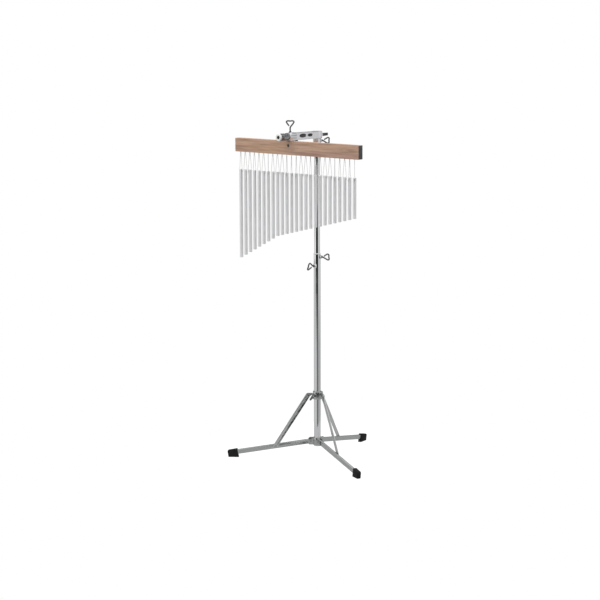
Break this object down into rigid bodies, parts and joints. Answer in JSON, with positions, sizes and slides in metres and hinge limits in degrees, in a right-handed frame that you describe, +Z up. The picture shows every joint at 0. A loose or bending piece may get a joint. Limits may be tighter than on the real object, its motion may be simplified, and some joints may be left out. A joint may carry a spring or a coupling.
{
  "type": "bar chimes on floor stand",
  "caption": "Row of graded metal chime rods hung on cords from a wooden bar, held by a cast arm on a height-adjustable chromed tube with a folding flat tripod.",
  "frame": {"origin": "centre of the footprint box, on the floor under the rubber feet", "axes": "+Z up along the tube, +X along the bar towards the short rods, -Y the front, where the player stands and the bar hangs"},
  "size_m": [0.4508, 0.4168, 0.9575],
  "materials": {
    "satin_aluminium": "satin, fine drawn lines",
    "beech_wood": "oiled pale wood with streaky grain, black end grain",
    "dark_steel": "dark nickel",
    "cast_chrome": "chromed casting, soft highlights",
    "chrome_tube": "bright chrome",
    "wire_chrome": "bright wire",
    "zinc_steel": "plated pressed steel",
    "black_rubber": "moulded",
    "white_nylon": "turned nylon"
  },
  "bodies": {
    "stand_base": {"lower_tube": "chrome_tube", "leg_hub": "zinc_steel", "guide_bush": "white_nylon", "hub_rivet_back": "zinc_steel", "hub_rivet_left": "zinc_steel", "hub_rivet_front": "zinc_steel"},
    "upper_tube": {"upper_tube": "chrome_tube"},
    "holder_arm": {"holder_arm": "cast_chrome", "nylon_bush": "white_nylon", "steady_pad": "black_rubber"},
    "ring_nut": {"ring_nut": "dark_steel"},
    "bar": {"wooden_bar": "beech_wood", "cross_dowel": "dark_steel"},
    "leg_collar": {"leg_collar": "zinc_steel", "collar_rivet_back": "zinc_steel", "collar_rivet_left": "zinc_steel", "collar_rivet_front": "zinc_steel"},
    "chime_01": {"chime_01": "satin_aluminium"},
    "chime_02": {"chime_02": "satin_aluminium"},
    "chime_03": {"chime_03": "satin_aluminium"},
    "chime_04": {"chime_04": "satin_aluminium"},
    "chime_05": {"chime_05": "satin_aluminium"},
    "chime_06": {"chime_06": "satin_aluminium"},
    "chime_07": {"chime_07": "satin_aluminium"},
    "chime_08": {"chime_08": "satin_aluminium"},
    "chime_09": {"chime_09": "satin_aluminium"},
    "chime_10": {"chime_10": "satin_aluminium"},
    "chime_11": {"chime_11": "satin_aluminium"},
    "chime_12": {"chime_12": "satin_aluminium"},
    "chime_13": {"chime_13": "satin_aluminium"},
    "chime_14": {"chime_14": "satin_aluminium"},
    "chime_15": {"chime_15": "satin_aluminium"},
    "chime_16": {"chime_16": "satin_aluminium"},
    "chime_17": {"chime_17": "satin_aluminium"},
    "chime_18": {"chime_18": "satin_aluminium"},
    "chime_19": {"chime_19": "satin_aluminium"},
    "chime_20": {"chime_20": "satin_aluminium"},
    "chime_21": {"chime_21": "satin_aluminium"},
    "chime_22": {"chime_22": "satin_aluminium"},
    "chime_23": {"chime_23": "satin_aluminium"},
    "chime_24": {"chime_24": "satin_aluminium"},
    "chime_25": {"chime_25": "satin_aluminium"},
    "bar_screw": {"bar_screw": "wire_chrome"},
    "arm_screw": {"arm_screw": "wire_chrome"},
    "height_screw_upper": {"height_screw_upper": "wire_chrome"},
    "height_screw_lower": {"height_screw_lower": "wire_chrome"},
    "collar_screw": {"collar_screw": "wire_chrome"},
    "leg_back": {"leg_back": "zinc_steel", "foot_back": "black_rubber"},
    "strut_back": {"strut_back": "zinc_steel", "leg_rivet_back": "zinc_steel"},
    "leg_left": {"leg_left": "zinc_steel", "foot_left": "black_rubber"},
    "strut_left": {"strut_left": "zinc_steel", "leg_rivet_left": "zinc_steel"},
    "leg_front": {"leg_front": "zinc_steel", "foot_front": "black_rubber"},
    "strut_front": {"strut_front": "zinc_steel", "leg_rivet_front": "zinc_steel"}
  },
  "joints": [
    {"name": "height_slide", "type": "slide", "parent": "stand_base", "child": "upper_tube", "axis": [0, 0, 1], "range_m": [-0.29, 0.15]},
    {"name": "arm_swivel", "type": "hinge", "parent": "upper_tube", "child": "holder_arm", "pos_m": [-0.01657, -0.04542, 0.896], "axis": [0, 0, 1], "continuous": true},
    {"name": "bar_swivel", "type": "hinge", "parent": "holder_arm", "child": "bar", "pos_m": [-0.01657, -0.15842, 0.9015], "axis": [0, 0, 1], "range_deg": [-25, 25]},
    {"name": "bar_screw_turn", "type": "hinge", "parent": "bar", "child": "bar_screw", "pos_m": [-0.01657, -0.15842, 0.8846], "axis": [0, 0, 1], "continuous": true},
    {"name": "arm_screw_turn", "type": "hinge", "parent": "holder_arm", "child": "arm_screw", "pos_m": [-0.01011, -0.03981, 0.896], "axis": [0.7547, 0.6561, 0], "continuous": true},
    {"name": "height_screw_upper_turn", "type": "hinge", "parent": "stand_base", "child": "height_screw_upper", "pos_m": [-0.00924, -0.04101, 0.5735], "axis": [0.8572, 0.515, 0], "continuous": true},
    {"name": "height_screw_lower_turn", "type": "hinge", "parent": "stand_base", "child": "height_screw_lower", "pos_m": [-0.01776, -0.05388, 0.549], "axis": [-0.1392, -0.9903, 0], "continuous": true},
    {"name": "collar_screw_turn", "type": "hinge", "parent": "leg_collar", "child": "collar_screw", "pos_m": [-0.01446, -0.05532, 0.182], "axis": [0.2079, -0.9781, 0], "continuous": true},
    {"name": "ring_nut_turn", "type": "hinge", "parent": "holder_arm", "child": "ring_nut", "pos_m": [-0.01657, -0.18242, 0.9136], "axis": [0, 1, 0], "continuous": true},
    {"name": "leg_front_fold", "type": "hinge", "parent": "stand_base", "child": "leg_front", "pos_m": [0.00171, -0.05355, 0.0495], "axis": [-0.4067, -0.9135, 0], "range_deg": [0, 91]},
    {"name": "leg_left_fold", "type": "hinge", "parent": "stand_base", "child": "leg_left", "pos_m": [-0.03275, -0.05717, 0.0495], "axis": [-0.5878, 0.809, 0], "range_deg": [0, 91]},
    {"name": "leg_back_fold", "type": "hinge", "parent": "stand_base", "child": "leg_back", "pos_m": [-0.01866, -0.02552, 0.0495], "axis": [0.9945, 0.1045, 0], "range_deg": [0, 91]},
    {"name": "collar_slide", "type": "slide", "parent": "stand_base", "child": "leg_collar", "axis": [0, 0, 1], "range_m": [0, 0.14223]},
    {"name": "strut_front_fold", "type": "hinge", "parent": "leg_collar", "child": "strut_front", "pos_m": [0.00719, -0.05599, 0.182], "axis": [-0.4067, -0.9135, 0], "range_deg": [-29.17, 0]},
    {"name": "strut_left_fold", "type": "hinge", "parent": "leg_collar", "child": "strut_left", "pos_m": [-0.0376, -0.0607, 0.182], "axis": [-0.5878, 0.809, 0], "range_deg": [-29.17, 0]},
    {"name": "strut_back_fold", "type": "hinge", "parent": "leg_collar", "child": "strut_back", "pos_m": [-0.01928, -0.01956, 0.182], "axis": [0.9945, 0.1045, 0], "range_deg": [-29.17, 0]},
    {"name": "chime_01_swing", "type": "hinge", "parent": "bar", "child": "chime_01", "pos_m": [-0.19607, -0.15842, 0.8643], "axis": [1, 0, 0], "range_deg": [-15, 15]},
    {"name": "chime_02_swing", "type": "hinge", "parent": "bar", "child": "chime_02", "pos_m": [-0.17937, -0.15842, 0.8643], "axis": [1, 0, 0], "range_deg": [-15, 15]},
    {"name": "chime_03_swing", "type": "hinge", "parent": "bar", "child": "chime_03", "pos_m": [-0.16267, -0.15842, 0.8643], "axis": [1, 0, 0], "range_deg": [-15, 15]},
    {"name": "chime_04_swing", "type": "hinge", "parent": "bar", "child": "chime_04", "pos_m": [-0.14597, -0.15842, 0.8643], "axis": [1, 0, 0], "range_deg": [-15, 15]},
    {"name": "chime_05_swing", "type": "hinge", "parent": "bar", "child": "chime_05", "pos_m": [-0.12927, -0.15842, 0.8643], "axis": [1, 0, 0], "range_deg": [-15, 15]},
    {"name": "chime_06_swing", "type": "hinge", "parent": "bar", "child": "chime_06", "pos_m": [-0.11257, -0.15842, 0.8643], "axis": [1, 0, 0], "range_deg": [-15, 15]},
    {"name": "chime_07_swing", "type": "hinge", "parent": "bar", "child": "chime_07", "pos_m": [-0.09587, -0.15842, 0.8643], "axis": [1, 0, 0], "range_deg": [-15, 15]},
    {"name": "chime_08_swing", "type": "hinge", "parent": "bar", "child": "chime_08", "pos_m": [-0.07917, -0.15842, 0.8643], "axis": [1, 0, 0], "range_deg": [-15, 15]},
    {"name": "chime_09_swing", "type": "hinge", "parent": "bar", "child": "chime_09", "pos_m": [-0.06247, -0.15842, 0.8643], "axis": [1, 0, 0], "range_deg": [-15, 15]},
    {"name": "chime_10_swing", "type": "hinge", "parent": "bar", "child": "chime_10", "pos_m": [-0.04577, -0.15842, 0.8643], "axis": [1, 0, 0], "range_deg": [-15, 15]},
    {"name": "chime_11_swing", "type": "hinge", "parent": "bar", "child": "chime_11", "pos_m": [-0.02907, -0.15842, 0.8643], "axis": [1, 0, 0], "range_deg": [-15, 15]},
    {"name": "chime_12_swing", "type": "hinge", "parent": "bar", "child": "chime_12", "pos_m": [-0.01237, -0.15842, 0.8643], "axis": [1, 0, 0], "range_deg": [-15, 15]},
    {"name": "chime_13_swing", "type": "hinge", "parent": "bar", "child": "chime_13", "pos_m": [0.00433, -0.15842, 0.8643], "axis": [1, 0, 0], "range_deg": [-15, 15]},
    {"name": "chime_14_swing", "type": "hinge", "parent": "bar", "child": "chime_14", "pos_m": [0.02103, -0.15842, 0.8643], "axis": [1, 0, 0], "range_deg": [-15, 15]},
    {"name": "chime_15_swing", "type": "hinge", "parent": "bar", "child": "chime_15", "pos_m": [0.03773, -0.15842, 0.8643], "axis": [1, 0, 0], "range_deg": [-15, 15]},
    {"name": "chime_16_swing", "type": "hinge", "parent": "bar", "child": "chime_16", "pos_m": [0.05443, -0.15842, 0.8643], "axis": [1, 0, 0], "range_deg": [-15, 15]},
    {"name": "chime_17_swing", "type": "hinge", "parent": "bar", "child": "chime_17", "pos_m": [0.07113, -0.15842, 0.8643], "axis": [1, 0, 0], "range_deg": [-15, 15]},
    {"name": "chime_18_swing", "type": "hinge", "parent": "bar", "child": "chime_18", "pos_m": [0.08783, -0.15842, 0.8643], "axis": [1, 0, 0], "range_deg": [-15, 15]},
    {"name": "chime_19_swing", "type": "hinge", "parent": "bar", "child": "chime_19", "pos_m": [0.10453, -0.15842, 0.8643], "axis": [1, 0, 0], "range_deg": [-15, 15]},
    {"name": "chime_20_swing", "type": "hinge", "parent": "bar", "child": "chime_20", "pos_m": [0.12123, -0.15842, 0.8643], "axis": [1, 0, 0], "range_deg": [-15, 15]},
    {"name": "chime_21_swing", "type": "hinge", "parent": "bar", "child": "chime_21", "pos_m": [0.13793, -0.15842, 0.8643], "axis": [1, 0, 0], "range_deg": [-15, 15]},
    {"name": "chime_22_swing", "type": "hinge", "parent": "bar", "child": "chime_22", "pos_m": [0.15463, -0.15842, 0.8643], "axis": [1, 0, 0], "range_deg": [-15, 15]},
    {"name": "chime_23_swing", "type": "hinge", "parent": "bar", "child": "chime_23", "pos_m": [0.17133, -0.15842, 0.8643], "axis": [1, 0, 0], "range_deg": [-15, 15]},
    {"name": "chime_24_swing", "type": "hinge", "parent": "bar", "child": "chime_24", "pos_m": [0.18803, -0.15842, 0.8643], "axis": [1, 0, 0], "range_deg": [-15, 15]},
    {"name": "chime_25_swing", "type": "hinge", "parent": "bar", "child": "chime_25", "pos_m": [0.20473, -0.15842, 0.8643], "axis": [1, 0, 0], "range_deg": [-15, 15]}
  ],
  "couplings": [
    {"joint": "leg_left_fold", "follows": "leg_front_fold", "ratio": 1},
    {"joint": "leg_back_fold", "follows": "leg_front_fold", "ratio": 1},
    {"joint": "collar_slide", "follows": "leg_front_fold", "m_per_rad": 0.089424},
    {"joint": "strut_front_fold", "follows": "leg_front_fold", "ratio": -0.32036},
    {"joint": "strut_left_fold", "follows": "leg_front_fold", "ratio": -0.32036},
    {"joint": "strut_back_fold", "follows": "leg_front_fold", "ratio": -0.32036}
  ]
}
